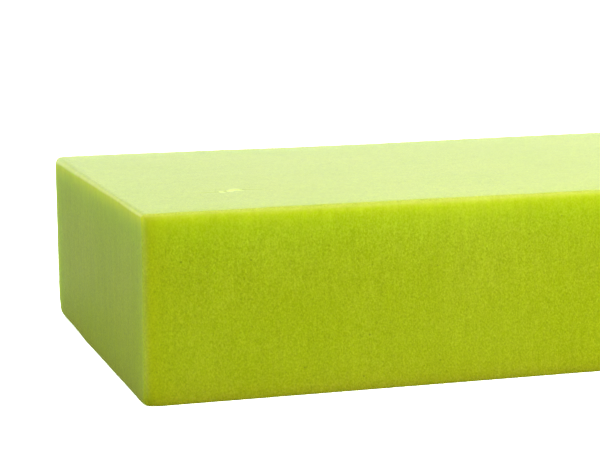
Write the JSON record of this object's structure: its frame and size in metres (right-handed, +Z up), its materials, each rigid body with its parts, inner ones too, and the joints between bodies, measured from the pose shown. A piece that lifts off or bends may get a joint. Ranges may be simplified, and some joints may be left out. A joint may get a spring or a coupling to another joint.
{
  "type": "floral foam brick",
  "caption": "Rectangular block of fine open-cell rigid foam that holds cut flower stems pushed into it, used dry or soaked.",
  "frame": {"origin": "middle of the underside, where the brick rests", "axes": "+X along the 230 mm length, +Y across the 110 mm width towards the long side whose lower edge is worn round, +Z up"},
  "size_m": [0.23, 0.11, 0.04],
  "materials": {
    "floral_foam": "matte"
  },
  "bodies": {
    "root": {"foam_brick": "floral_foam"}
  },
  "joints": []
}
